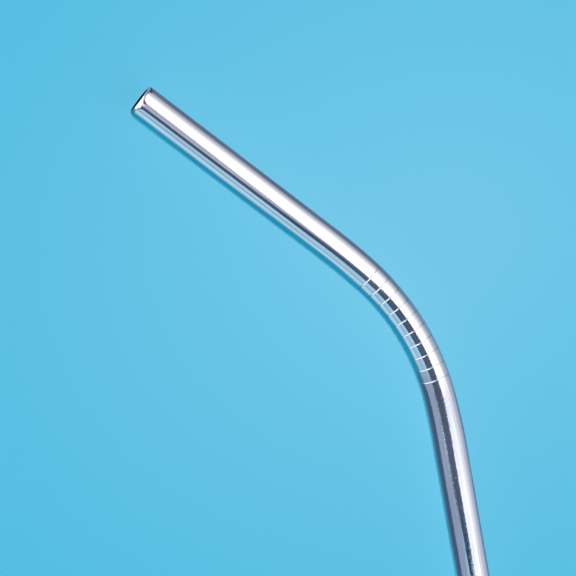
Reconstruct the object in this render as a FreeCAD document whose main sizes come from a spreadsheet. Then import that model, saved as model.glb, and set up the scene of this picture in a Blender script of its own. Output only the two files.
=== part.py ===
import FreeCAD, Part
import math
import os
import Sketcher
from FreeCAD import Vector

# A bent drinking straw: one length of thin stainless tube, lying on its side.
#
# The long leg runs along X and its plain end points to -X. The tube then bends towards +Y
# and ends in a short straight mouth run, whose wall is rolled inwards to a smooth lip.
# The bend lies flat, so +Z is square to it. The bend eases in and out: an easing arc,
# the main arc and a second easing arc follow each other, each tangent to the next.
# Ten shallow rings are rolled into the outside of the main arc.
#
# The body's own origin is the centre of the plain end, with the leg along +X. Its
# Placement then moves the frame's origin to the middle of the straw's underside.

SIZES = (
    ("outer_diameter", 6.0, "outside of the tube"),
    ("wall", 0.5, "thickness of the tube's wall"),
    ("total_length", 215.0, "along the centreline, from the plain end to the lip"),
    ("mouth_straight", 41.4, "straight run at the mouth, lip included"),
    ("easing_radius", 130.0, "centreline radius of each easing arc"),
    ("easing_angle", 4.2, "degrees turned by each easing arc"),
    ("bend_radius", 47.4, "centreline radius of the main arc"),
    ("bend_angle", 33.2, "degrees turned by the main arc"),
    ("lip_radius", 0.7, "outside radius of the rolled lip"),
    ("edge_round", 0.1, "rounding of the tube's cut edges"),
    ("groove_count", 10, "rings rolled into the bend"),
    ("groove_pitch", 2.53, "from ring to ring, along the centreline"),
    ("groove_start", 0.6, "from the main arc's mouth end to the first ring"),
    ("groove_radius", 0.16, "radius of a ring's round section"),
    ("groove_depth", 0.1, "depth of a ring below the outside"),
)

CUT_EDGES = 4  # an outer and an inner one at each end
SAME_PLACE = 1e-4  # mm within which a point or a radius is the one looked for

# Expressions made from the sheet's cells.
OUTER_RADIUS = "sizes.outer_diameter / 2"
BORE_RADIUS = "(sizes.outer_diameter / 2 - sizes.wall)"
OPENING_RADIUS = "(sizes.outer_diameter / 2 - sizes.lip_radius)"
EASING_ANGLE = "sizes.easing_angle * 1 deg"
BEND_ANGLE = "sizes.bend_angle * 1 deg"
WHOLE_ANGLE = "(2 * sizes.easing_angle + sizes.bend_angle) * 1 deg"
LEG_LENGTH = (
    "sizes.total_length - sizes.mouth_straight"
    " - (2 * sizes.easing_radius * sizes.easing_angle + sizes.bend_radius * sizes.bend_angle)"
    " * pi / 180"
)
FIRST_RING_ANGLE = (
    "(sizes.easing_angle + sizes.bend_angle) * 1 deg"
    " - sizes.groove_start / sizes.bend_radius * 180 / pi * 1 deg"
)
RINGS_ANGLE = (
    "(sizes.groove_count - 1) * sizes.groove_pitch / sizes.bend_radius * 180 / pi * 1 deg"
)


def make_sheet(doc):
    """The driving dimensions, in millimetres and degrees, one named cell each."""
    sheet = doc.addObject("Spreadsheet::Sheet", "sizes")
    for row, (alias, value, meaning) in enumerate(SIZES, start=1):
        sheet.set(f"A{row}", alias)
        sheet.set(f"B{row}", str(value))
        sheet.set(f"C{row}", meaning)
        sheet.setAlias(f"B{row}", alias)
    doc.recompute()
    return sheet


def flat_sketch(body, name, role):
    """An empty sketch on one of the body's own origin planes."""
    sketch = body.newObject("Sketcher::SketchObject", name)
    plane = next(p for p in body.Origin.OriginFeatures if p.Role == role)
    sketch.AttachmentSupport = [(plane, "")]
    sketch.MapMode = "FlatFace"
    return sketch


def size_constraint(sketch, name, expression, kind, *where):
    """A named dimension of the sketch, driven by an expression."""
    index = sketch.addConstraint(Sketcher.Constraint(kind, *where))
    sketch.renameConstraint(index, name)
    sketch.setExpression(f"Constraints.{name}", expression)


def measured(sketch, name, kind, geometry, point):
    """A named distance from the sketch's origin that is read, not set."""
    end = sketch.getPoint(geometry, point)
    value = end.x if kind == "DistanceX" else end.y
    index = sketch.addConstraint(
        Sketcher.Constraint(kind, -1, 1, geometry, point, value)
    )
    sketch.setDriving(index, False)
    sketch.renameConstraint(index, name)


def arc_from(start, heading, radius, angle):
    """An arc that leaves start along heading and turns left by angle, with its end."""
    centre = start + Vector(-math.sin(heading), math.cos(heading), 0) * radius
    circle = Part.Circle(centre, Vector(0, 0, 1), radius)
    quarter = math.pi / 2
    arc = Part.ArcOfCircle(circle, heading - quarter, heading + angle - quarter)
    return arc, arc.EndPoint


def make_centreline(body, sheet):
    """Leg, easing arc, main arc, easing arc and mouth run, up to where the lip starts."""
    sketch = flat_sketch(body, "centreline", "XY_Plane")
    easing = math.radians(sheet.easing_angle)
    turn = math.radians(sheet.bend_angle)
    arcs = (
        (sheet.easing_radius, easing, "sizes.easing_radius", EASING_ANGLE),
        (sheet.bend_radius, turn, "sizes.bend_radius", BEND_ANGLE),
        (sheet.easing_radius, easing, "sizes.easing_radius", EASING_ANGLE),
    )
    mouth_run = sheet.mouth_straight - sheet.lip_radius
    arcs_length = sum(radius * angle for radius, angle, _, _ in arcs)
    leg_length = sheet.total_length - sheet.mouth_straight - arcs_length

    point = Vector(leg_length, 0, 0)
    heading = 0.0
    sketch.addGeometry(Part.LineSegment(Vector(0, 0, 0), point))
    for radius, angle, _, _ in arcs:
        arc, point = arc_from(point, heading, radius, angle)
        sketch.addGeometry(arc)
        heading += angle
    direction = Vector(math.cos(heading), math.sin(heading), 0)
    sketch.addGeometry(Part.LineSegment(point, point + direction * mouth_run))

    leg, main_arc, mouth_line = 0, 2, 4
    sketch.addConstraint(Sketcher.Constraint("Coincident", leg, 1, -1, 1))
    sketch.addConstraint(Sketcher.Constraint("Horizontal", leg))
    for geometry in range(mouth_line):
        joint = Sketcher.Constraint("Tangent", geometry, 2, geometry + 1, 1)
        sketch.addConstraint(joint)
    for geometry, (radius, angle, radius_cell, angle_cell) in enumerate(arcs, start=1):
        size_constraint(
            sketch, f"arc_{geometry}_radius", radius_cell, "Radius", geometry, radius
        )
        size_constraint(
            sketch, f"arc_{geometry}_angle", angle_cell, "Angle", geometry, angle
        )
    size_constraint(sketch, "leg_length", LEG_LENGTH, "Distance", leg, leg_length)
    size_constraint(
        sketch,
        "mouth_run",
        "sizes.mouth_straight - sizes.lip_radius",
        "Distance",
        mouth_line,
        mouth_run,
    )
    measured(sketch, "bend_centre_x", "DistanceX", main_arc, 3)
    measured(sketch, "bend_centre_y", "DistanceY", main_arc, 3)
    measured(sketch, "lip_base_x", "DistanceX", mouth_line, 2)
    measured(sketch, "lip_base_y", "DistanceY", mouth_line, 2)
    return sketch


def make_tube(body, sheet, centreline):
    """The drawn tube: a ring-shaped section carried along the centreline."""
    section = flat_sketch(body, "tube_section", "YZ_Plane")
    outer = sheet.outer_diameter / 2
    circles = (("outside", outer, OUTER_RADIUS), ("bore", outer - sheet.wall, BORE_RADIUS))
    for name, radius, expression in circles:
        circle = Part.Circle(Vector(0, 0, 0), Vector(0, 0, 1), radius)
        index = section.addGeometry(circle)
        section.addConstraint(Sketcher.Constraint("Coincident", index, 3, -1, 1))
        size_constraint(section, name, expression, "Radius", index, radius)
    tube = body.newObject("PartDesign::AdditivePipe", "tube")
    tube.Profile = section
    tube.Spine = (centreline, [])


def make_lip(body, sheet):
    """The wall at the mouth, rolled inwards through a quarter turn round one centre."""
    section = flat_sketch(body, "lip_section", "XY_Plane")
    section.setExpression("AttachmentOffset.Base.x", "centreline.Constraints.lip_base_x")
    section.setExpression("AttachmentOffset.Base.y", "centreline.Constraints.lip_base_y")
    section.setExpression("AttachmentOffset.Rotation.Angle", WHOLE_ANGLE)
    outside = sheet.outer_diameter / 2
    opening = outside - sheet.lip_radius
    inside_roll = sheet.lip_radius - sheet.wall
    centre = Vector(0, opening, 0)
    quarter = math.pi / 2
    for radius in (sheet.lip_radius, inside_roll):
        circle = Part.Circle(centre, Vector(0, 0, 1), radius)
        section.addGeometry(Part.ArcOfCircle(circle, 0, quarter))
    cut_start = centre + Vector(inside_roll, 0, 0)
    cut_end = centre + Vector(sheet.lip_radius, 0, 0)
    section.addGeometry(Part.LineSegment(cut_start, cut_end))
    root_start = centre + Vector(0, inside_roll, 0)
    root_end = centre + Vector(0, sheet.lip_radius, 0)
    section.addGeometry(Part.LineSegment(root_start, root_end))

    outer_roll, inner_roll, cut_face, root = range(4)
    constraints = (
        ("Coincident", outer_roll, 3, inner_roll, 3),
        ("PointOnObject", outer_roll, 3, -2),
        ("Coincident", cut_face, 1, inner_roll, 1),
        ("Coincident", cut_face, 2, outer_roll, 1),
        ("Coincident", root, 1, inner_roll, 2),
        ("Coincident", root, 2, outer_roll, 2),
        ("Horizontal", cut_face),
        ("Vertical", root),
        ("PointOnObject", root, 1, -2),
        ("Horizontal", outer_roll, 3, outer_roll, 1),
    )
    for constraint in constraints:
        section.addConstraint(Sketcher.Constraint(*constraint))
    size_constraint(
        section, "lip", "sizes.lip_radius", "Radius", outer_roll, sheet.lip_radius
    )
    size_constraint(
        section,
        "lip_inside",
        "sizes.lip_radius - sizes.wall",
        "Radius",
        inner_roll,
        inside_roll,
    )
    size_constraint(
        section, "opening", OPENING_RADIUS, "DistanceY", -1, 1, outer_roll, 3, opening
    )
    lip = body.newObject("PartDesign::Revolution", "lip")
    lip.Profile = section
    lip.ReferenceAxis = (section, ["H_Axis"])
    lip.Angle = 360
    return lip


def make_grooves(body, sheet):
    """One ring cut at its station on the main arc, then repeated round the arc's centre."""
    section = flat_sketch(body, "groove_section", "XY_Plane")
    section.setExpression("AttachmentOffset.Base.x", "centreline.Constraints.bend_centre_x")
    section.setExpression("AttachmentOffset.Base.y", "centreline.Constraints.bend_centre_y")
    section.setExpression("AttachmentOffset.Rotation.Angle", FIRST_RING_ANGLE)
    outside = sheet.outer_diameter / 2
    ring_height = outside + sheet.groove_radius - sheet.groove_depth
    centre = Vector(0, -(sheet.bend_radius + ring_height), 0)
    circle = Part.Circle(centre, Vector(0, 0, 1), sheet.groove_radius)
    section.addGeometry(circle)
    start = Vector(-outside, -sheet.bend_radius, 0)
    end = Vector(outside, -sheet.bend_radius, 0)
    section.addGeometry(Part.LineSegment(start, end), True)

    ring, tangent_line = range(2)
    section.addConstraint(Sketcher.Constraint("PointOnObject", ring, 3, -2))
    section.addConstraint(
        Sketcher.Constraint("Symmetric", tangent_line, 1, tangent_line, 2, -2)
    )
    size_constraint(
        section,
        "ring_radius",
        "sizes.groove_radius",
        "Radius",
        ring,
        sheet.groove_radius,
    )
    size_constraint(
        section,
        "ring_height",
        f"{OUTER_RADIUS} + sizes.groove_radius - sizes.groove_depth",
        "DistanceY",
        ring,
        3,
        tangent_line,
        1,
        ring_height,
    )
    size_constraint(
        section,
        "bend_radius",
        "sizes.bend_radius",
        "DistanceY",
        tangent_line,
        1,
        -1,
        1,
        sheet.bend_radius,
    )
    size_constraint(
        section,
        "line_length",
        "sizes.outer_diameter",
        "Distance",
        tangent_line,
        sheet.outer_diameter,
    )
    groove = body.newObject("PartDesign::Groove", "groove")
    groove.Profile = section
    groove.ReferenceAxis = (section, ["Axis0"])
    groove.Angle = 360

    pattern = body.newObject("PartDesign::PolarPattern", "grooves")
    pattern.Originals = [groove]
    pattern.Axis = (section, ["N_Axis"])
    pattern.Reversed = True
    pattern.Mode = "Extent"
    pattern.setExpression("Angle", RINGS_ANGLE)
    pattern.setExpression("Occurrences", "sizes.groove_count")
    body.Tip = pattern
    return pattern


def cut_edges(shape, sheet, lip_section):
    """Names of the four round edges where the tube was cut: two at each end."""
    outside = sheet.outer_diameter / 2
    opening = outside - sheet.lip_radius
    plain_end = Vector(0, 0, 0)
    lip_frame = lip_section.Placement
    lip_inside = lip_frame.multVec(Vector(sheet.lip_radius - sheet.wall, 0, 0))
    lip_outside = lip_frame.multVec(Vector(sheet.lip_radius, 0, 0))
    wanted = (
        (plain_end, outside),
        (plain_end, outside - sheet.wall),
        (lip_inside, opening),
        (lip_outside, opening),
    )
    names = []
    for index, edge in enumerate(shape.Edges, start=1):
        curve = edge.Curve
        if not isinstance(curve, Part.Circle):
            continue
        for centre, radius in wanted:
            near = (curve.Center - centre).Length < SAME_PLACE
            if near and abs(curve.Radius - radius) < SAME_PLACE:
                names.append(f"Edge{index}")
    return names


def round_cut_edges(body, sheet, base, lip_section):
    """The cut edges at both ends, broken with a small round."""
    names = cut_edges(base.Shape, sheet, lip_section)
    if len(names) != CUT_EDGES:
        raise SystemExit(f"expected {CUT_EDGES} cut edges, found {len(names)}")
    rounds = body.newObject("PartDesign::Fillet", "cut_edge_rounds")
    rounds.Base = (base, names)
    rounds.setExpression("Radius", "sizes.edge_round")


def place_on_its_side(body):
    """The frame's origin goes under the middle of the straw's box, at its underside."""
    reach_x = f"{OPENING_RADIUS} * sin({WHOLE_ANGLE}) + sizes.lip_radius"
    reach_y = f"{OPENING_RADIUS} * cos({WHOLE_ANGLE}) + sizes.lip_radius"
    highest_x = f"centreline.Constraints.lip_base_x / 1 mm + {reach_x}"
    highest_y = f"centreline.Constraints.lip_base_y / 1 mm + {reach_y}"
    body.setExpression("Placement.Base.x", f"-({highest_x}) / 2")
    body.setExpression("Placement.Base.y", f"-({highest_y} - {OUTER_RADIUS}) / 2")
    body.setExpression("Placement.Base.z", OUTER_RADIUS)


def make_straw(doc, sheet):
    body = doc.addObject("PartDesign::Body", "straw")
    body.Label = "straw"
    centreline = make_centreline(body, sheet)
    doc.recompute()
    make_tube(body, sheet, centreline)
    lip = make_lip(body, sheet)
    doc.recompute()
    grooves = make_grooves(body, sheet)
    doc.recompute()
    round_cut_edges(body, sheet, grooves, lip.Profile[0])
    place_on_its_side(body)
    doc.recompute()
    return body


def check(doc, body, sheet):
    """Stops the build if anything failed, or if a feature added or cut nothing."""
    for item in doc.Objects:
        if "Invalid" in item.State or "Error" in item.State:
            raise SystemExit(f"{item.Name} failed: {item.State}")
    for sketch in doc.findObjects("Sketcher::SketchObject"):
        if sketch.solve() != 0 or not sketch.FullyConstrained:
            raise SystemExit(f"{sketch.Name} isn't fully constrained")
    shape = body.Shape
    if shape.isNull() or not shape.isValid() or len(shape.Solids) != 1:
        raise SystemExit(f"{body.Label} isn't one valid solid")

    outside = sheet.outer_diameter / 2
    bore = outside - sheet.wall
    area = math.pi * (outside**2 - bore**2)
    plain_tube = area * (sheet.total_length - sheet.lip_radius)
    tube_error = abs(doc.tube.Shape.Volume / plain_tube - 1)
    if tube_error > 1e-4:
        raise SystemExit("the tube's volume isn't its section times its length")
    if doc.lip.Shape.Volume <= doc.tube.Shape.Volume:
        raise SystemExit("the lip adds nothing")
    one_ring = doc.lip.Shape.Volume - doc.groove.Shape.Volume
    all_rings = doc.lip.Shape.Volume - doc.grooves.Shape.Volume
    if one_ring <= 0 or abs(all_rings / one_ring / sheet.groove_count - 1) > 1e-3:
        raise SystemExit("the rings aren't all cut")


def main():
    doc = FreeCAD.newDocument("bent_straw")
    sheet = make_sheet(doc)
    body = make_straw(doc, sheet)
    check(doc, body, sheet)
    os.makedirs("parts", exist_ok=True)
    body.Shape.exportStep(f"parts/{body.Label}.step")
    box = body.Shape.optimalBoundingBox(False)
    print(f"{body.Label}: volume {body.Shape.Volume:.2f} mm3")
    print(f"x {box.XMin:.3f} to {box.XMax:.3f}")
    print(f"y {box.YMin:.3f} to {box.YMax:.3f}")
    print(f"z {box.ZMin:.3f} to {box.ZMax:.3f}")


main()
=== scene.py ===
import math

import bpy
import numpy as np
from mathutils import Matrix, Vector


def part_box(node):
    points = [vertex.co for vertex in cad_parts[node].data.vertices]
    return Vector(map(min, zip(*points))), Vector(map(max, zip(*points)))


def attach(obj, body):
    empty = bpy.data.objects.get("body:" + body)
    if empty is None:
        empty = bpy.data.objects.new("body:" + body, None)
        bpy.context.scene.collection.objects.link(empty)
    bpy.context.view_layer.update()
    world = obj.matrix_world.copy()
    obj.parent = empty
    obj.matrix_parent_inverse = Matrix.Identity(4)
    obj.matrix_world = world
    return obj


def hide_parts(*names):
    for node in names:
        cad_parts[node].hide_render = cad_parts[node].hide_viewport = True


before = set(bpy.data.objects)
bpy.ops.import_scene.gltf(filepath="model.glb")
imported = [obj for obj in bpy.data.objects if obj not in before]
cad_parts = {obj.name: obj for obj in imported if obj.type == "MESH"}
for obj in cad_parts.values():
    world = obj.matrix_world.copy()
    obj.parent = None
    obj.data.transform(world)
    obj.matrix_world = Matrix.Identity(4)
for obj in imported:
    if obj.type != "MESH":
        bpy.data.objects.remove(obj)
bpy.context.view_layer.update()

# A bent drinking straw of polished stainless tube, lying on a pale floor.
#
# The straw is one piece. Its mesh is worked out from the same driving dimensions as the
# CAD part, and its place comes from the part's box. A station is a distance along the
# centreline from the plain end.

MM = 0.001

OUTER_DIAMETER = 6.0 * MM
WALL = 0.5 * MM
TOTAL_LENGTH = 215.0 * MM
MOUTH_STRAIGHT = 41.4 * MM
EASING_RADIUS = 130.0 * MM
EASING_ANGLE = math.radians(4.2)
BEND_RADIUS = 47.4 * MM
BEND_ANGLE = math.radians(33.2)
LIP_RADIUS = 0.7 * MM
EDGE_ROUND = 0.1 * MM
GROOVE_COUNT = 10
GROOVE_PITCH = 2.53 * MM
GROOVE_START = 0.6 * MM

# What only the looks need. The rings' section is eased, and shallower than the CAD's.
GROOVE_DEPTH = 0.055 * MM
GROOVE_HALF_WIDTH = 0.115 * MM
BEND_FLATTENING = 0.042  # the bent tube is this much narrower in the plane of the bend
STRAIGHTENING = 0.3  # how far each length between two rings is from arc to straight
LEAD_ANGLE = 6.0  # degrees, of the gentle lead-in to the lip's roll
LEAD_RADIUS = 7.5 * MM
RIM = -15  # degrees round the lip's cut edge, where its outside ends

# The longest steps of the mesh along the tube.
STRAIGHT_STEP = 3 * MM
EASING_STEP = 0.5 * MM
BEND_STEP = 0.4 * MM
RING_STEP = 0.02 * MM
SUPPORT = 0.04 * MM  # beside a ring and the lip, so that their shading stays in them
BORE_STEP = 4 * MM
BENT_BORE_STEP = 1 * MM
SIDES = 128  # faces round the tube

OUTER_RADIUS = OUTER_DIAMETER / 2
BORE_RADIUS = OUTER_RADIUS - WALL
OPENING_RADIUS = OUTER_RADIUS - LIP_RADIUS
LIP_INSIDE = LIP_RADIUS - WALL
LIP_STATION = TOTAL_LENGTH - LIP_RADIUS
LEAD_DROP = LEAD_RADIUS * (1 - math.cos(math.radians(LEAD_ANGLE)))
ROLL_RADIUS = (LIP_RADIUS - LEAD_DROP) / math.cos(math.radians(LEAD_ANGLE))
EASING_LENGTH = EASING_RADIUS * EASING_ANGLE
BEND_LENGTH = BEND_RADIUS * BEND_ANGLE
LEG_LENGTH = TOTAL_LENGTH - MOUTH_STRAIGHT - 2 * EASING_LENGTH - BEND_LENGTH
BEND_START = LEG_LENGTH + EASING_LENGTH
BEND_END = BEND_START + BEND_LENGTH
MOUTH_START = BEND_END + EASING_LENGTH
LAST_RING = BEND_END - GROOVE_START
FIRST_RING = LAST_RING - (GROOVE_COUNT - 1) * GROOVE_PITCH
FLATTENING_STARTS = (LEG_LENGTH, BEND_START + 4 * MM)  # from none to all of it
FLATTENING_ENDS = (BEND_END - 9 * MM, BEND_END + 3 * MM)  # and back to none

LOW_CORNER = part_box("straw")[0]
PLAIN_END = LOW_CORNER + Vector((0, OUTER_RADIUS, OUTER_RADIUS))


# ---------------------------------------------------------------- centreline


def smooth(value, low, high):
    """0 below low, 1 above high and a smooth step in between."""
    t = min(max((value - low) / (high - low), 0.0), 1.0)
    return t * t * (3 - 2 * t)


def centre_at(station):
    """The centreline's point and heading at a station, as the CAD part has them."""
    point = PLAIN_END.copy()
    heading = 0.0
    pieces = (
        (LEG_LENGTH, 0.0),
        (EASING_LENGTH, 1 / EASING_RADIUS),
        (BEND_LENGTH, 1 / BEND_RADIUS),
        (EASING_LENGTH, 1 / EASING_RADIUS),
        (math.inf, 0.0),
    )
    left = station
    for length, curvature in pieces:
        run = min(left, length)
        ahead = Vector((math.cos(heading), math.sin(heading), 0))
        if curvature:
            side = Vector((-ahead.y, ahead.x, 0))
            turn = run * curvature
            point += ahead * (math.sin(turn) / curvature)
            point += side * ((1 - math.cos(turn)) / curvature)
            heading += turn
        else:
            point += ahead * run
        left -= run
        if left <= 0:
            break
    return point, heading


def ring_phase(station):
    """Where a station lies between two rings: -1 and 1 at the rings, 0 half-way."""
    if not FIRST_RING < station < LAST_RING:
        return None
    share = (station - FIRST_RING) / GROOVE_PITCH
    return 2 * (share - math.floor(share)) - 1


def bent_centre_at(station):
    """The centreline with each length between two rings partly straightened."""
    point, heading = centre_at(station)
    phase = ring_phase(station)
    if phase is not None:
        sagitta = GROOVE_PITCH**2 / (8 * BEND_RADIUS)
        side = Vector((-math.sin(heading), math.cos(heading), 0))
        point += side * (STRAIGHTENING * sagitta * (1 - phase**2))
    return point, heading


# ------------------------------------------------------------------- profile


def edge_reach(distance):
    """How far along the tube the round of the lip's cut edge is from a roll's centre.

    The distance is between the two centres. The round's own is EDGE_ROUND further out
    from the tube's axis.
    """
    return math.sqrt(distance**2 - EDGE_ROUND**2)


EDGE_STATION = LIP_STATION + edge_reach(LIP_RADIUS - EDGE_ROUND)
ROLL_STATION = EDGE_STATION - edge_reach(ROLL_RADIUS - EDGE_ROUND)
LEAD_STATION = ROLL_STATION - (LEAD_RADIUS - ROLL_RADIUS) * math.sin(math.radians(LEAD_ANGLE))


def groove_depth_at(station):
    """How far the outside lies below the plain tube."""
    nearest = round((station - FIRST_RING) / GROOVE_PITCH)
    nearest = min(max(nearest, 0), GROOVE_COUNT - 1)
    away = abs(station - (FIRST_RING + nearest * GROOVE_PITCH)) / GROOVE_HALF_WIDTH
    return GROOVE_DEPTH * (1 - smooth(away, 0, 1))


def steps(start, end, longest):
    """Stations from start to end, evenly spaced, without the end itself."""
    count = max(1, math.ceil(abs(end - start) / longest))
    return [start + (end - start) * k / count for k in range(count)]


def outer_stations():
    """Stations of the outside, close together where it curves."""
    end_support = 4 * EDGE_ROUND
    stations = steps(EDGE_ROUND, end_support, EDGE_ROUND)
    stations += steps(end_support, LEG_LENGTH, STRAIGHT_STEP)
    stations += steps(LEG_LENGTH, BEND_START, EASING_STEP)
    reach = GROOVE_HALF_WIDTH + SUPPORT
    stations += steps(BEND_START, FIRST_RING - reach, BEND_STEP)
    for index in range(GROOVE_COUNT):
        ring = FIRST_RING + index * GROOVE_PITCH
        stations += steps(ring - reach, ring + reach, RING_STEP)
        if index < GROOVE_COUNT - 1:
            stations += steps(ring + reach, ring + GROOVE_PITCH - reach, BEND_STEP)
    stations += steps(LAST_RING + reach, MOUTH_START, EASING_STEP)
    lead_support = LEAD_STATION - 4 * SUPPORT
    stations += steps(MOUTH_START, lead_support, STRAIGHT_STEP)
    stations += steps(lead_support, LEAD_STATION, SUPPORT)
    return stations


def arc(station, radius, size, start, end, count):
    """Points of an arc about (station, radius), in count steps, angles in degrees."""
    points = []
    for k in range(count + 1):
        angle = math.radians(start + (end - start) * k / count)
        points.append((station + size * math.cos(angle), radius + size * math.sin(angle)))
    return points


def lip_outside():
    """The rolled lip's outside, up to the round of its cut edge.

    A gentle lead-in eases the tube into the roll. The roll is a little tighter for it,
    so the straw's end stays where it is.
    """
    lead_end = 90 - LEAD_ANGLE
    tangent = math.degrees(math.asin(EDGE_ROUND / (ROLL_RADIUS - EDGE_ROUND)))
    edge_radius = OPENING_RADIUS + EDGE_ROUND
    points = arc(LEAD_STATION, OUTER_RADIUS - LEAD_RADIUS, LEAD_RADIUS, 90, lead_end, 10)
    points += arc(ROLL_STATION, OPENING_RADIUS, ROLL_RADIUS, lead_end, tangent, 26)[1:]
    points += arc(EDGE_STATION, edge_radius, EDGE_ROUND, tangent, RIM, 5)[1:]
    return points


def lip_inside():
    """The lip's inside, from the round of its cut edge to the bore."""
    inner_size = LIP_INSIDE + EDGE_ROUND
    tangent = math.degrees(math.asin(EDGE_ROUND / inner_size))
    inner_station = LIP_STATION + edge_reach(inner_size)
    edge_radius = OPENING_RADIUS + EDGE_ROUND
    points = arc(EDGE_STATION, edge_radius, EDGE_ROUND, RIM, -90, 6)
    points += arc(inner_station, edge_radius, EDGE_ROUND, -90, tangent - 180, 8)
    points += arc(LIP_STATION, OPENING_RADIUS, LIP_INSIDE, tangent, 90, 14)[1:]
    return points


def wall_profile():
    """The wall's whole section as (station, radius, inside), once round it."""
    outside = arc(EDGE_ROUND, OUTER_RADIUS - EDGE_ROUND, EDGE_ROUND, 180, 90, 6)
    outside += [(s, OUTER_RADIUS - groove_depth_at(s)) for s in outer_stations()[1:]]
    outside += lip_outside()
    bore = steps(LIP_STATION, MOUTH_START, BORE_STEP)[1:]
    bore += steps(MOUTH_START, LEG_LENGTH, BENT_BORE_STEP)
    bore += steps(LEG_LENGTH, EDGE_ROUND, BORE_STEP)
    inside = lip_inside() + [(s, BORE_RADIUS) for s in bore]
    plain_edge = arc(EDGE_ROUND, BORE_RADIUS + EDGE_ROUND, EDGE_ROUND, 270, 180, 6)
    profile = [(s, r, 0.0) for s, r in outside]
    profile += [(s, r, 1.0) for s, r in inside]
    profile += [(s, r, 0.0) for s, r in plain_edge]
    return profile


# ---------------------------------------------------------------------- mesh


def flattening_at(station):
    """The share by which the tube is narrower in the plane of the bend."""
    start = smooth(station, *FLATTENING_STARTS)
    end = smooth(station, *FLATTENING_ENDS)
    return BEND_FLATTENING * start * (1 - end)


def hoop_faces(hoops):
    """Faces between each hoop of points and the next, and from the last to the first."""
    faces = []
    for hoop in range(hoops):
        this = hoop * SIDES
        after = (hoop + 1) % hoops * SIDES
        for k in range(SIDES):
            beside = (k + 1) % SIDES
            faces.append((this + k, this + beside, after + beside, after + k))
    return faces


def make_straw():
    """The tube's mesh: one hoop of points for each point of the wall's section.

    It carries two attributes. tube_place is a point's place on the tube if the tube were
    straight along X, and bore_share is 1 inside the tube.
    """
    profile = wall_profile()
    angles = np.linspace(0, 2 * math.pi, SIDES, endpoint=False)
    up = np.array((0, 0, 1))
    places = []
    tube_places = []
    bore_shares = []
    for station, radius, inside in profile:
        centre, heading = bent_centre_at(station)
        side = np.array((-math.sin(heading), math.cos(heading), 0))
        narrowed = radius * (1 - flattening_at(station))
        across = np.outer(np.cos(angles) * narrowed, side)
        upright = np.outer(np.sin(angles) * radius, up)
        places.append(np.array(centre) + across + upright)
        straight = (np.full(SIDES, station), radius * np.cos(angles), radius * np.sin(angles))
        tube_places.append(np.stack(straight, axis=1))
        bore_shares.append(np.full(SIDES, inside))
    mesh = bpy.data.meshes.new("straw_tube")
    mesh.from_pydata(np.concatenate(places).tolist(), [], hoop_faces(len(profile)))
    mesh.shade_smooth()
    tube_place = mesh.attributes.new("tube_place", "FLOAT_VECTOR", "POINT")
    tube_place.data.foreach_set("vector", np.concatenate(tube_places).ravel())
    bore_share = mesh.attributes.new("bore_share", "FLOAT", "POINT")
    bore_share.data.foreach_set("value", np.concatenate(bore_shares))
    mesh.update()
    straw = bpy.data.objects.new("straw_tube", mesh)
    bpy.context.scene.collection.objects.link(straw)
    return straw


# --------------------------------------------------------------------- nodes


def new_nodes(owner):
    """The emptied nodes and links of a material or a world."""
    owner.use_nodes = True
    tree = owner.node_tree
    tree.nodes.clear()
    return tree.nodes, tree.links


def vector_math(nodes, links, operation, source, value=None):
    """One step of vector arithmetic. DOT_PRODUCT and LENGTH give a number."""
    node = nodes.new("ShaderNodeVectorMath")
    node.operation = operation
    links.new(source, node.inputs[0])
    if value is not None:
        node.inputs[1].default_value = value
    return node.outputs["Value" if operation in ("DOT_PRODUCT", "LENGTH") else "Vector"]


def noise_at(nodes, links, place, scale, detail):
    """A noise's value at each place."""
    noise = nodes.new("ShaderNodeTexNoise")
    noise.inputs["Scale"].default_value = scale
    noise.inputs["Detail"].default_value = detail
    links.new(place, noise.inputs["Vector"])
    return noise.outputs["Fac"]


def ranged(nodes, links, source, low, high, to_low, to_high, interpolation="LINEAR"):
    """The source's low to high becomes to_low to to_high, clamped."""
    node = nodes.new("ShaderNodeMapRange")
    node.interpolation_type = interpolation
    node.inputs["From Min"].default_value = low
    node.inputs["From Max"].default_value = high
    node.inputs["To Min"].default_value = to_low
    node.inputs["To Max"].default_value = to_high
    links.new(source, node.inputs["Value"])
    return node.outputs["Result"]


def combine(nodes, links, operation, first, second):
    """One step of arithmetic. Each side is a number or an output."""
    node = nodes.new("ShaderNodeMath")
    node.operation = operation
    for socket, value in zip(node.inputs, (first, second)):
        if isinstance(value, (int, float)):
            socket.default_value = value
        else:
            links.new(value, socket)
    return node.outputs[0]


def mixed(nodes, links, share, first, second):
    """The first colour where share is 0, the second where it is 1."""
    node = nodes.new("ShaderNodeMix")
    node.data_type = "RGBA"
    links.new(share, node.inputs["Factor"])
    for name, colour in (("A", first), ("B", second)):
        if isinstance(colour, tuple):
            node.inputs[name].default_value = (*colour, 1)
        else:
            links.new(colour, node.inputs[name])
    return node.outputs["Result"]


def bump(nodes, links, height, distance, normal=None):
    """Bumps of this distance in metres, on top of the bumps that normal has."""
    node = nodes.new("ShaderNodeBump")
    node.inputs["Strength"].default_value = 1.0
    node.inputs["Distance"].default_value = distance
    links.new(height, node.inputs["Height"])
    if normal is not None:
        links.new(normal, node.inputs["Normal"])
    return node.outputs["Normal"]


def show(nodes, links, shader, kind="Material"):
    """Links a shader's output to the surface of a material or a world."""
    output = nodes.new("ShaderNodeOutput" + kind)
    links.new(shader, output.inputs["Surface"])


# ----------------------------------------------------------------- materials

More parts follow.
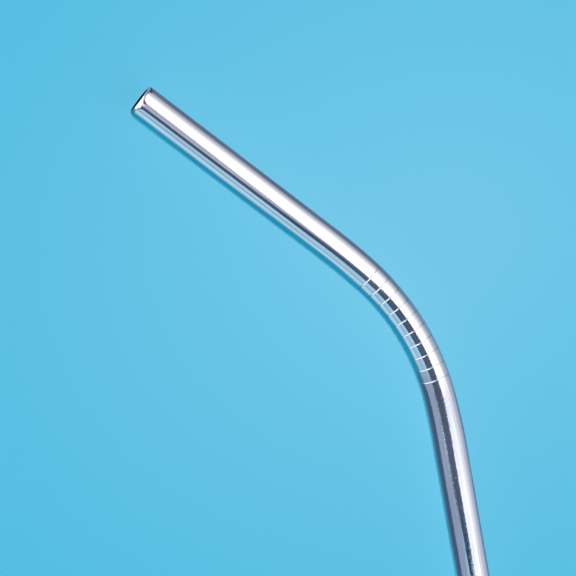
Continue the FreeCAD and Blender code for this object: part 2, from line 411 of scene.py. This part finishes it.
# Each texture of the steel is its scale per metre along the tube, its scale per metre
# across the tube, and its detail. Most values of a noise lie in NOISE_RANGE.
STREAKS = (22, 1900, 1.0)
LINES = (60, 5200, 2.0)
FINE_LINES = (180, 14000, 1.0)
PEEL = (2300, 2600, 2.0)
DENTS = (2600, 3800, 1.0)
SMUDGES = (70, 260, 3.0)
NOISE_RANGE = (0.3, 0.7)
DENT_RANGE = (0.56, 0.69)  # only a noise's highest places are dents
ROUGH_UNTIL = (0.130, 0.156)  # stations, in metres, between which peel and dents fade
FADED = 0.25  # the share of them past those stations

# How far each texture stands out, in metres.
STREAK_BUMP = 0.0000030
LINE_BUMP = 0.0000010
FINE_LINE_BUMP = 0.0000004
PEEL_BUMP = 0.0000036
DENT_BUMP = 0.0000040

DULL_STEEL = (0.59, 0.59, 0.60)
BRIGHT_STEEL = (0.70, 0.695, 0.69)
# Painted shade: inside the tube the steel is given a near-black colour for the dark in the
# bore; its real dullness is in BORE_ROUGHNESS.
BORE_PAINTED_SHADE = (0.025, 0.025, 0.028)
SMUDGE_WEIGHT = 0.4
LINE_WEIGHT = 0.6
TINT_RANGE = (0.40, 0.60)
SMUDGE_ROUGHNESS = (0.05, 0.10)
LINE_ROUGHNESS = (-0.02, 0.02)
BORE_ROUGHNESS = 0.2


def polished_stainless():
    """Drawn tube, mirror polished: fine lines along it, a faint orange peel, smudges, and
    painted shade in the bore.
    """
    material = bpy.data.materials.new("polished_stainless")
    nodes, links = new_nodes(material)

    def attribute(name):
        node = nodes.new("ShaderNodeAttribute")
        node.attribute_name = name
        return node

    def math_of(operation, first, second):
        return combine(nodes, links, operation, first, second)

    tube = attribute("tube_place").outputs["Vector"]
    bore = attribute("bore_share").outputs["Fac"]

    def texture(along, across, detail):
        place = vector_math(nodes, links, "MULTIPLY", tube, (along, across, across))
        return noise_at(nodes, links, place, 1.0, detail)

    lines = texture(*LINES)
    smudges = texture(*SMUDGES)

    shade = math_of(
        "ADD",
        math_of("MULTIPLY", smudges, SMUDGE_WEIGHT),
        math_of("MULTIPLY", lines, LINE_WEIGHT),
    )
    shade = ranged(nodes, links, shade, *TINT_RANGE, 0, 1)
    tint = mixed(nodes, links, shade, DULL_STEEL, BRIGHT_STEEL)

    rough = ranged(nodes, links, smudges, *NOISE_RANGE, *SMUDGE_ROUGHNESS)
    line_rough = ranged(nodes, links, lines, *NOISE_RANGE, *LINE_ROUGHNESS)
    rough = math_of("ADD", rough, line_rough)
    rough = math_of("ADD", rough, math_of("MULTIPLY", bore, BORE_ROUGHNESS))

    station = nodes.new("ShaderNodeSeparateXYZ")
    links.new(tube, station.inputs[0])
    coarser = ranged(nodes, links, station.outputs["X"], *ROUGH_UNTIL, 1.0, FADED)
    peel = math_of("MULTIPLY", texture(*PEEL), coarser)
    dents = ranged(nodes, links, texture(*DENTS), *DENT_RANGE, 0, 1)
    dents = math_of("MULTIPLY", dents, coarser)
    normal = None
    for height, distance in (
        (texture(*STREAKS), STREAK_BUMP),
        (lines, LINE_BUMP),
        (texture(*FINE_LINES), FINE_LINE_BUMP),
        (peel, PEEL_BUMP),
        (dents, DENT_BUMP),
    ):
        normal = bump(nodes, links, height, distance, normal)

    shader = nodes.new("ShaderNodeBsdfPrincipled")
    shader.inputs["Metallic"].default_value = 1.0
    # Inside the tube the colour is painted shade, near black.
    links.new(mixed(nodes, links, bore, tint, BORE_PAINTED_SHADE), shader.inputs["Base Color"])
    links.new(rough, shader.inputs["Roughness"])
    links.new(normal, shader.inputs["Normal"])
    show(nodes, links, shader.outputs["BSDF"])
    return material


# Painted light: the floor's colour is paler in a painted pool of light about the bend, and
# deepens away from it as painted falloff.
LIGHT_POOL_CENTRE = (0.0645, -0.0272, 0)
LIGHT_POOL_REACH = (0.012, 0.108)  # metres from its centre, where it starts and stops fading
LIGHT_POOL_SQUEEZE = (1.25, 1, 0)  # the pool is narrower along X, and has no height
LIT_POOL_BLUE = (0.253, 0.587, 0.783)
DIMMER_OUTER_BLUE = (0.130, 0.523, 0.730)
GRAIN_SCALE = 900
GRAIN_DETAIL = 3
GRAIN = 0.04  # as a share of the step between the two blues


def pale_floor():
    """A matt, pale blue surface with a barely visible grain, and a painted pool of light:
    deeper blue away from it.
    """
    material = bpy.data.materials.new("pale_floor")
    nodes, links = new_nodes(material)
    place = nodes.new("ShaderNodeTexCoord").outputs["Object"]
    offset = vector_math(nodes, links, "SUBTRACT", place, LIGHT_POOL_CENTRE)
    squeezed = vector_math(nodes, links, "MULTIPLY", offset, LIGHT_POOL_SQUEEZE)
    distance = vector_math(nodes, links, "LENGTH", squeezed)
    far = ranged(nodes, links, distance, *LIGHT_POOL_REACH, 0, 1)
    noise = noise_at(nodes, links, place, GRAIN_SCALE, GRAIN_DETAIL)
    grain = ranged(nodes, links, noise, 0, 1, -GRAIN, GRAIN)
    share = combine(nodes, links, "ADD", far, grain)
    shader = nodes.new("ShaderNodeBsdfPrincipled")
    shader.inputs["Roughness"].default_value = 0.7
    shader.inputs["Specular IOR Level"].default_value = 0.1
    # Painted light: the lit blue of the pool near the bend, the dimmer blue away from it.
    colour = mixed(nodes, links, share, LIT_POOL_BLUE, DIMMER_OUTER_BLUE)
    links.new(colour, shader.inputs["Base Color"])
    show(nodes, links, shader.outputs["BSDF"])
    return material


# -------------------------------------------------------------------- studio

# What the straw mirrors: a board above the camera, and the room beyond it. Both are
# painted with soft-edged panels, one over the other. Each edge of a panel is
# (direction, low, high): measured along that direction, the panel starts to show at low
# and shows fully at high. On the board that is in metres from the straw's middle. In the
# room it is the cosine of the angle to that direction.
#
# A panel is named for the part that mirrors it, where the arm is the mouth run, or for
# where it is. A flag is a dark panel, and a softbox is a bright one.
BOARD_HEIGHT = 0.4
BOARD_CORNERS = ((-0.35, -0.45), (0.60, -0.45), (0.60, 0.50), (-0.35, 0.50))

# Directions that several panels share.
UP = (0, 0, 1)
DOWN = (0, 0, -1)
TO_BEND = (1, 0, 0)
TO_PLAIN_END = (-1, 0, 0)
TO_MOUTH_SIDE = (0, 1, 0)
TO_NEAR_SIDE = (0, -1, 0)
OUT_OF_MOUTH = (0.748, 0.664, 0)
INTO_MOUTH = (-0.748, -0.664, 0)
LEFT_OF_MOUTH = (-0.664, 0.748, 0)
RIGHT_OF_MOUTH = (0.664, -0.748, 0)

OVERHEAD = (0.60, 0.62, 0.78)
LIGHT_BLUE = (0.55, 0.90, 1.18)
BLUE_GREY = (0.34, 0.62, 0.86)
LIGHT_GREY = (0.69, 0.97, 1.16)
LAVENDER = (0.40, 0.50, 0.71)
VIOLET_GREY = (0.46, 0.54, 0.84)
FAR_LOW = (0.02, 0.42, 0.72)
NAVY = (0.07, 0.12, 0.20)
SLATE = (0.11, 0.15, 0.24)
WHITE = (2.2, 2.2, 2.25)
COOL_WHITE = (1.38, 1.43, 1.62)

BOARD_PANELS = (
    ("far_blue", LIGHT_BLUE, (((-0.77, 0.64, 0), 0.12, 0.14),)),
    (
        "far_lavender",
        LAVENDER,
        (((0.93, 0.37, 0), -0.065, -0.03), (TO_MOUTH_SIDE, 0.08, 0.12)),
    ),
    (
        "arm_flag",
        (0.035, 0.095, 0.18),
        (
            ((-0.986, 0.169, 0), 0.037, 0.072),
            ((0.77, -0.64, 0), -0.287, -0.237),
            ((0.936, 0.351, 0), -0.145, -0.110),
            (TO_MOUTH_SIDE, -0.05, -0.02),
        ),
    ),
    (
        "bend_flag",
        NAVY,
        (
            ((-0.894, -0.447, 0), 0.030, 0.046),
            ((0.86, -0.5, 0), -0.12, -0.08),
            (TO_NEAR_SIDE, -0.12, -0.06),
            (TO_MOUTH_SIDE, -0.13, -0.11),
        ),
    ),
    (
        "leg_flag",
        SLATE,
        (
            (TO_PLAIN_END, 0.04, 0.06),
            ((-0.975, -0.222, 0), 0.035, 0.050),
            ((1, 0.1, 0), -0.125, -0.112),
            (TO_NEAR_SIDE, -0.50, -0.24),
            (TO_MOUTH_SIDE, -0.08, -0.05),
        ),
    ),
    (
        "leg_flag_middle",
        (0.10, 0.14, 0.235),
        (
            (TO_PLAIN_END, 0.068, 0.075),
            ((1, 0.1, 0), -0.125, -0.112),
            (TO_NEAR_SIDE, -0.18, -0.12),
            (TO_MOUTH_SIDE, -0.01, 0.02),
        ),
    ),
    (
        "arm_softbox",
        WHITE,
        ((TO_NEAR_SIDE, 0.040, 0.066), ((0.95, 0.312, 0), -0.042, -0.024)),
    ),
    ("bend_softbox", WHITE, ((TO_NEAR_SIDE, 0.126, 0.150), (TO_BEND, -0.08, -0.05))),
    (
        "leg_softbox",
        COOL_WHITE,
        (
            ((-0.968, -0.252, 0), 0.094, 0.101),
            (TO_NEAR_SIDE, 0.050, 0.060),
            (TO_PLAIN_END, 0.06, 0.08),
        ),
    ),
    ("leg_panel", WHITE, ((TO_PLAIN_END, 0.15, 0.18), (TO_NEAR_SIDE, -0.05, -0.02))),
    (
        "mouth_wall",
        VIOLET_GREY,
        (
            (OUT_OF_MOUTH, 0.12, 0.14),
            ((0.263, 0.965, 0), 0.08, 0.10),
            (RIGHT_OF_MOUTH, 0.02, 0.05),
        ),
    ),
    (
        "mouth_flag",
        (0.12, 0.11, 0.15),
        (
            (OUT_OF_MOUTH, 0.068, 0.078),
            ((0.263, 0.965, 0), 0.010, 0.025),
            ((-0.263, -0.965, 0), -0.12, -0.09),
            (RIGHT_OF_MOUTH, 0.02, 0.05),
        ),
    ),
    (
        "mouth_glow",
        (1.15, 1.00, 1.15),
        (
            (OUT_OF_MOUTH, 0.066, 0.080),
            (LEFT_OF_MOUTH, -0.03, 0.0),
            (RIGHT_OF_MOUTH, -0.10, -0.07),
        ),
    ),
    (
        "mouth_softbox",
        WHITE,
        (
            (OUT_OF_MOUTH, 0.12, 0.14),
            ((0.263, 0.965, 0), 0.08, 0.10),
            ((-0.432, 0.902, 0), -0.05, 0.0),
            (TO_BEND, -0.13, -0.09),
        ),
    ),
)

# Edges that keep the room's panels to one side of the straw.
NEAR_SIDE = ((0.1, -1, 0), 0.0, 0.1)
FAR_SIDE = ((-0.77, 0.64, 0), 0.0, 0.1)
LEG_SIDE = ((0.93, 0.37, 0), -0.17, -0.07)
LEG_LOW_SIDE = ((0.93, 0.37, -0.2), -0.05, 0.04)

ROOM = (0.17, 0.49, 0.80)
ROOM_PANELS = (
    ("upper_room", (0.45, 0.55, 0.70), ((UP, -0.05, 0.05),)),
    (
        "leg_panel",
        WHITE,
        ((TO_PLAIN_END, 0.30, 0.45), ((-0.42, -0.9, 0), -0.05, 0.05), (UP, -0.10, 0.05)),
    ),
    ("far_wall", LIGHT_BLUE, (FAR_SIDE, (TO_MOUTH_SIDE, 0.3, 0.4))),
    ("far_line", BLUE_GREY, (FAR_SIDE, (UP, 0.36, 0.46), (DOWN, -0.60, -0.52))),
    ("far_stripe", LIGHT_GREY, (FAR_SIDE, (DOWN, -0.36, -0.24))),
    ("far_low", FAR_LOW, (FAR_SIDE, (DOWN, -0.04, 0.28))),
    (
        "far_low_corner",
        FAR_LOW,
        (FAR_SIDE, (TO_PLAIN_END, 0.755, 0.785), (DOWN, -0.18, 0.14)),
    ),
    ("leg_wall", LAVENDER, (LEG_SIDE, (TO_MOUTH_SIDE, 0.1, 0.2), (UP, -0.25, -0.10))),
    (
        "leg_low",
        (0.08, 0.15, 0.27),
        (
            LEG_LOW_SIDE,
            (TO_MOUTH_SIDE, 0.1, 0.2),
            (TO_PLAIN_END, 0.10, 0.20),
            (DOWN, -0.05, 0.12),
        ),
    ),
    (
        "leg_bottom",
        (0.08, 0.42, 0.63),
        (
            LEG_LOW_SIDE,
            (TO_MOUTH_SIDE, 0.1, 0.2),
            (TO_PLAIN_END, 0.10, 0.20),
            (DOWN, 0.55, 1.05),
        ),
    ),
    (
        "near_low",
        (0.155, 0.22, 0.345),
        (NEAR_SIDE, (TO_BEND, -0.25, 0.45), (UP, -1.03, -0.80)),
    ),
    (
        "near_leg_rim",
        (0.118, 0.27, 0.46),
        (NEAR_SIDE, (TO_PLAIN_END, 0.14, 0.24), (UP, -1.05, -0.80)),
    ),
    (
        "near_leg_low",
        (0.55, 0.65, 0.845),
        (NEAR_SIDE, (TO_PLAIN_END, -0.25, 0.10), (UP, -0.76, -0.15)),
    ),
    (
        "near_glow",
        (0.66, 0.70, 0.84),
        (NEAR_SIDE, (TO_BEND, -0.26, -0.12), (UP, -0.42, 0.10)),
    ),
    ("softbox", WHITE, (NEAR_SIDE, (TO_BEND, -0.26, -0.12), (UP, -0.04, 0.93))),
    ("leg_softbox", COOL_WHITE, (NEAR_SIDE, (TO_PLAIN_END, 0.12, 0.26), (UP, -0.29, 0.88))),
    (
        "end_flag",
        SLATE,
        (
            (TO_PLAIN_END, 0.54, 0.62),
            (TO_NEAR_SIDE, 0.0, 0.1),
            (UP, 0.04, 0.14),
            (DOWN, -0.64, -0.56),
        ),
    ),
    ("mouth_wall", VIOLET_GREY, (((0.342, 0.94, 0), 0.0, 0.1), (TO_BEND, 0.3, 0.45))),
    (
        "lip_flag",
        (0.06, 0.065, 0.12),
        (
            NEAR_SIDE,
            (OUT_OF_MOUTH, -0.03, 0.02),
            (INTO_MOUTH, -0.24, -0.14),
            (DOWN, -0.05, 0.10),
        ),
    ),
    ("corner_flag", (0.17, 0.18, 0.28), (((0.916, -0.333, -0.225), 0.93, 0.97),)),
    (
        "mouth_softbox",
        WHITE,
        (
            ((-0.432, 0.902, 0), -0.05, 0.03),
            ((0.544, -0.613, 0.573), -0.70, -0.44),
            (TO_BEND, -0.20, -0.12),
            (UP, -0.98, -0.93),
        ),
    ),
    ("ring_panel", (1.2, 1.25, 1.4), (((0.94, 0.34, 0), 0.45, 0.60), (UP, 0.30, 0.45))),
    (
        "mouth_dark",
        (0.03, 0.06, 0.10),
        (
            (OUT_OF_MOUTH, 0.10, 0.25),
            (DOWN, 0.38, 0.62),
            (LEFT_OF_MOUTH, -0.26, -0.12),
            (RIGHT_OF_MOUTH, -0.34, -0.18),
        ),
    ),
    ("mouth_low", (0.16, 0.16, 0.28), (((0.12, 0.62, -0.77), 0.95, 0.985),)),
)

# What the floor and the camera have in place of the panels: one colour, weaker on the floor.
PLAIN_ROOM = (0.18, 0.70, 1.0)
ROOM_ON_FLOOR = 0.35
ROOM_IN_VIEW = 0.8

KEY_DIRECTION = (0.18, 0.10, 0.98)  # from the straw to the light
KEY_ANGLE = 9  # degrees that the light is across
KEY_STRENGTH = 2.3
KEY_COLOUR = (0.77, 1.0, 0.94)

SENSOR_WIDTH = 36  # millimetres, as the lens is
LENS = 113.75
CAMERA_PLACE = Vector((0.11872, 0.03480, 0.32171))
CAMERA_AIM = Vector((0.06127, 0.00282, 0.003))
PICTURE_UP = math.radians(-10.6)  # the heading from +X that is up in the picture


def paint(nodes, links, place, base, panels):
    """The panels' colours over the base colour, by place."""

    def edge(direction, low, high):
        along = vector_math(nodes, links, "DOT_PRODUCT", place, direction)
        return ranged(nodes, links, along, low, high, 0, 1, "SMOOTHSTEP")

    colour = base
    for _, panel_colour, edges in panels:
        share = edge(*edges[0])
        for one in edges[1:]:
            share = combine(nodes, links, "MULTIPLY", share, edge(*one))
        colour = mixed(nodes, links, share, colour, panel_colour)
    return colour


def make_room():
    """The room round the straw. Only the straw mirrors its panels: the floor and the
    camera see a plain pale blue."""
    world = bpy.data.worlds.new("room")
    bpy.context.scene.world = world
    nodes, links = new_nodes(world)
    direction = nodes.new("ShaderNodeTexCoord").outputs["Generated"]
    panels = nodes.new("ShaderNodeBackground")
    links.new(paint(nodes, links, direction, ROOM, ROOM_PANELS), panels.inputs["Color"])
    plain = nodes.new("ShaderNodeBackground")
    plain.inputs["Color"].default_value = (*PLAIN_ROOM, 1)
    path = nodes.new("ShaderNodeLightPath")
    strength = ranged(
        nodes, links, path.outputs["Is Camera Ray"], 0, 1, ROOM_ON_FLOOR, ROOM_IN_VIEW
    )
    links.new(strength, plain.inputs["Strength"])
    either = nodes.new("ShaderNodeMixShader")
    links.new(path.outputs["Is Glossy Ray"], either.inputs[0])
    links.new(plain.outputs["Background"], either.inputs[1])
    links.new(panels.outputs["Background"], either.inputs[2])
    show(nodes, links, either.outputs["Shader"], "World")


def make_sheet(name, corners, height, material):
    """A level sheet that isn't part of the object."""
    mesh = bpy.data.meshes.new(name)
    mesh.from_pydata([(x, y, height) for x, y in corners], [], [(0, 1, 2, 3)])
    mesh.materials.append(material)
    sheet = bpy.data.objects.new(name, mesh)
    bpy.context.scene.collection.objects.link(sheet)
    return sheet


def make_board():
    """The board above the camera. The straw mirrors it, and nothing else sees it."""
    material = bpy.data.materials.new("board_panels")
    nodes, links = new_nodes(material)
    place = nodes.new("ShaderNodeTexCoord").outputs["Object"]
    emission = nodes.new("ShaderNodeEmission")
    colour = paint(nodes, links, place, OVERHEAD, BOARD_PANELS)
    links.new(colour, emission.inputs["Color"])
    show(nodes, links, emission.outputs["Emission"])
    board = make_sheet("board", BOARD_CORNERS, BOARD_HEIGHT, material)
    board.visible_camera = False
    board.visible_diffuse = False
    board.visible_shadow = False


def make_sun(name, direction, angle, strength, colour):
    """A soft light from far away, for the floor only: the straw doesn't mirror it."""
    lamp = bpy.data.lights.new(name, "SUN")
    lamp.angle = math.radians(angle)
    lamp.energy = strength
    lamp.color = colour
    light = bpy.data.objects.new(name, lamp)
    light.rotation_euler = Vector(direction).to_track_quat("Z", "Y").to_euler()
    light.visible_glossy = False
    bpy.context.scene.collection.objects.link(light)


def make_floor():
    """The floor that the straw lies on. The straw mirrors the painted room, not this."""
    reach = 6.0
    corners = ((-reach, -reach), (reach, -reach), (reach, reach), (-reach, reach))
    floor = make_sheet("floor", corners, LOW_CORNER.z, pale_floor())
    floor.visible_glossy = False


def make_camera():
    """Looks down on the bend, with the mouth at the upper left."""
    camera = bpy.data.objects.new("camera", bpy.data.cameras.new("camera"))
    camera.data.sensor_width = SENSOR_WIDTH
    camera.data.lens = LENS
    up_hint = Vector((math.cos(PICTURE_UP), math.sin(PICTURE_UP), 0))
    back = (CAMERA_PLACE - CAMERA_AIM).normalized()
    right = up_hint.cross(back).normalized()
    up = back.cross(right)
    rotation = Matrix((right, up, back)).transposed()
    camera.matrix_world = Matrix.Translation(CAMERA_PLACE) @ rotation.to_4x4()
    bpy.context.scene.collection.objects.link(camera)
    bpy.context.scene.camera = camera


# ---------------------------------------------------------------------- main

straw = make_straw()
straw.data.materials.append(polished_stainless())
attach(straw, "root")
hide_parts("straw")

make_room()
make_board()
make_sun("key_light", KEY_DIRECTION, KEY_ANGLE, KEY_STRENGTH, KEY_COLOUR)
make_floor()
make_camera()
bpy.context.scene.view_settings.view_transform = "Standard"
